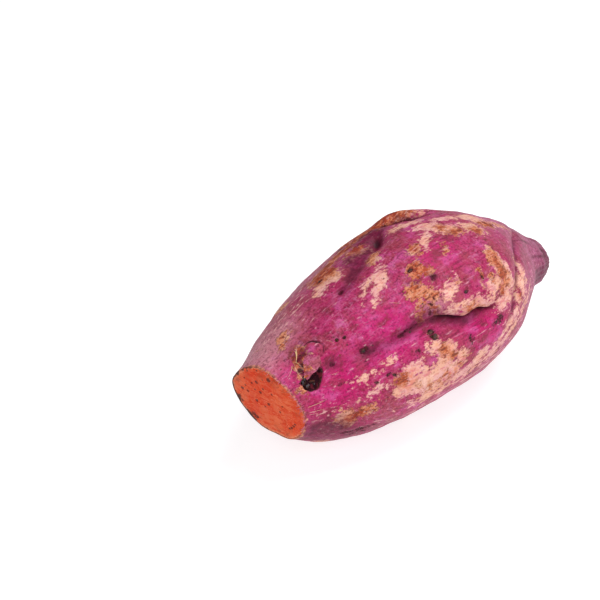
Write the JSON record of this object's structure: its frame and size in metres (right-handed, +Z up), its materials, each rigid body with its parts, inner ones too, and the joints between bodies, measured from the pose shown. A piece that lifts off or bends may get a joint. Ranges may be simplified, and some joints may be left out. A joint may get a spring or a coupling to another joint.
{
  "type": "sweet potato",
  "caption": "Spindle-shaped sweet potato root lying on its side, the stem end cut flat across, the far end tapering to a short tail, with a long crease, dents and a torn wound.",
  "frame": {"origin": "under the middle of the root's bounding box, on the surface that it lies on", "axes": "+X runs along the root from the cut stem end to the tail, +Z is up, and -Z leaves the flat of the belly"},
  "size_m": [0.1698, 0.0794, 0.0731],
  "materials": {
    "skin": "thin dry skin in magenta purple, with pale rubbed patches, tan and orange scurf and dark root scars, and orange flesh at the cut"
  },
  "bodies": {
    "root": {"sweet_potato": "skin"}
  },
  "joints": []
}
